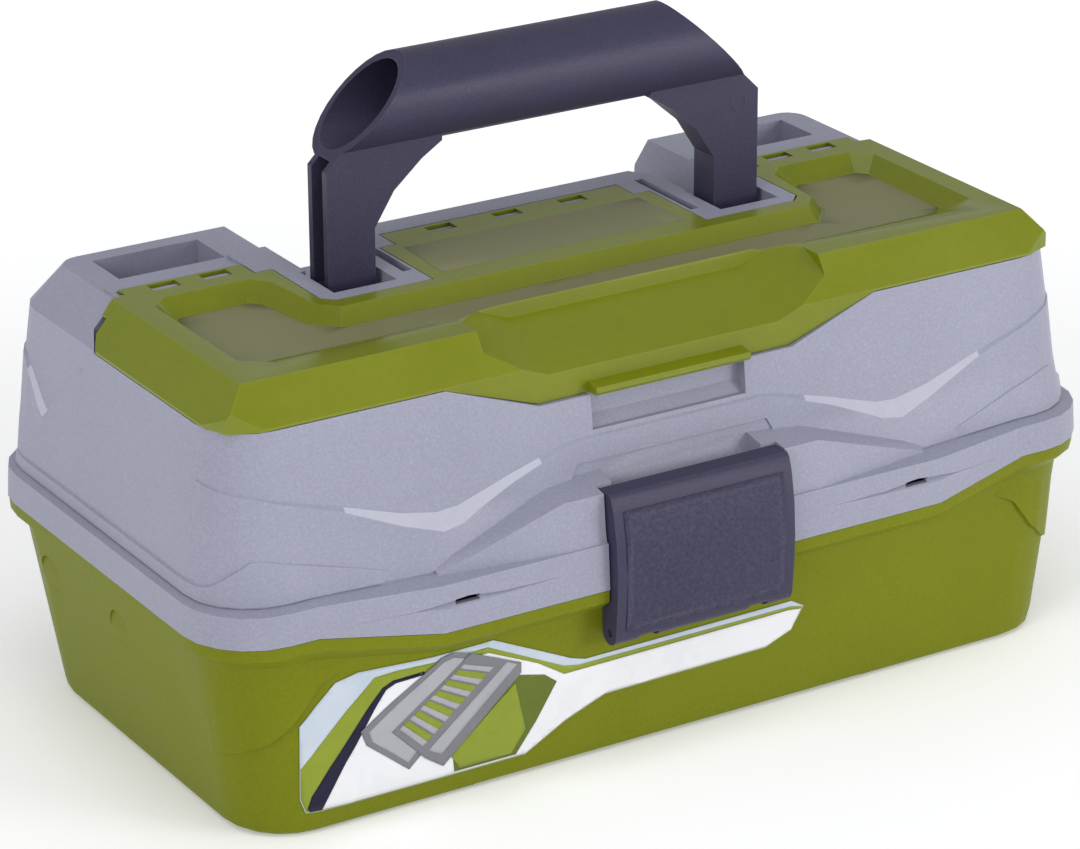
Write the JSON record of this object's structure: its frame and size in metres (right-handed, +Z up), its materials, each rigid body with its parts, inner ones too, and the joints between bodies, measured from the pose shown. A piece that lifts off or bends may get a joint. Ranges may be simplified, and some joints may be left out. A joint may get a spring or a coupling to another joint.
{
  "type": "fishing tackle box",
  "caption": "Rectangular carry box with hinged lid, compartment lid on top, folding tube handle, swing latch and a divided tray on lift-up arms.",
  "frame": {"origin": "middle of the closed box's bounding box at the ground", "axes": "+X along the length to the right seen from the front, -Y towards the latch, +Z up"},
  "size_m": [0.3556, 0.196, 0.2292],
  "materials": {
    "body_green": "satin moulded",
    "lid_green": "polished moulded",
    "lid_grey": "satin moulded",
    "slate": "fine grained moulded",
    "pale_grey": "satin moulded",
    "steel": "drawn wire",
    "label_film": "printed film"
  },
  "bodies": {
    "base": {"base_tub": "body_green", "front_label": "label_film", "latch_pin": "steel", "hinge_pin_left": "steel", "hinge_pin_right": "steel", "rivet_base_front_left": "pale_grey", "rivet_base_front_right": "pale_grey", "rivet_base_rear_left": "pale_grey", "rivet_base_rear_right": "pale_grey"},
    "lid": {"lid_shell": "lid_grey", "handle_pin_left": "steel", "handle_pin_right": "steel", "lid_bracket_left": "pale_grey", "lid_bracket_right": "pale_grey"},
    "access_lid": {"access_lid": "lid_green"},
    "handle": {"handle": "slate"},
    "latch": {"latch": "slate"},
    "rear_arms": {"arm_rear_left": "body_green", "arm_rear_right": "body_green"},
    "front_arms": {"arm_front_left": "body_green", "arm_front_right": "body_green"},
    "tray": {"tray": "pale_grey", "divider_1": "body_green", "divider_2": "body_green", "divider_3": "body_green", "divider_4": "body_green", "divider_5": "body_green", "divider_6": "body_green", "rivet_tray_front_left": "pale_grey", "rivet_tray_front_right": "pale_grey", "rivet_tray_rear_left": "pale_grey", "rivet_tray_rear_right": "pale_grey"}
  },
  "joints": [
    {"name": "lid_hinge", "type": "hinge", "parent": "base", "child": "lid", "pos_m": [0, 0.094, 0.073], "axis": [-1, 0, 0], "range_deg": [0, 100]},
    {"name": "access_lid_hinge", "type": "hinge", "parent": "lid", "child": "access_lid", "pos_m": [0, 0.0316, 0.1536], "axis": [-1, 0, 0], "range_deg": [0, 44]},
    {"name": "handle_fold", "type": "hinge", "parent": "lid", "child": "handle", "pos_m": [0, 0.009, 0.145], "axis": [-1, 0, 0], "range_deg": [0, 86]},
    {"name": "latch_swing", "type": "hinge", "parent": "base", "child": "latch", "pos_m": [0, -0.0926, 0.051], "axis": [1, 0, 0], "range_deg": [0, 90]},
    {"name": "rear_arm_swing", "type": "hinge", "parent": "base", "child": "rear_arms", "pos_m": [0, 0.055, 0.049], "axis": [-1, 0, 0], "range_deg": [0, 95]},
    {"name": "front_arm_swing", "type": "hinge", "parent": "base", "child": "front_arms", "pos_m": [0, 0.002, 0.049], "axis": [-1, 0, 0], "range_deg": [0, 95]},
    {"name": "tray_level", "type": "hinge", "parent": "rear_arms", "child": "tray", "pos_m": [0, 0.01068, 0.05681], "axis": [-1, 0, 0], "range_deg": [-95, 0]}
  ],
  "couplings": [
    {"joint": "rear_arm_swing", "follows": "lid_hinge", "ratio": 0.95},
    {"joint": "front_arm_swing", "follows": "lid_hinge", "ratio": 0.95},
    {"joint": "tray_level", "follows": "lid_hinge", "ratio": -0.95}
  ]
}
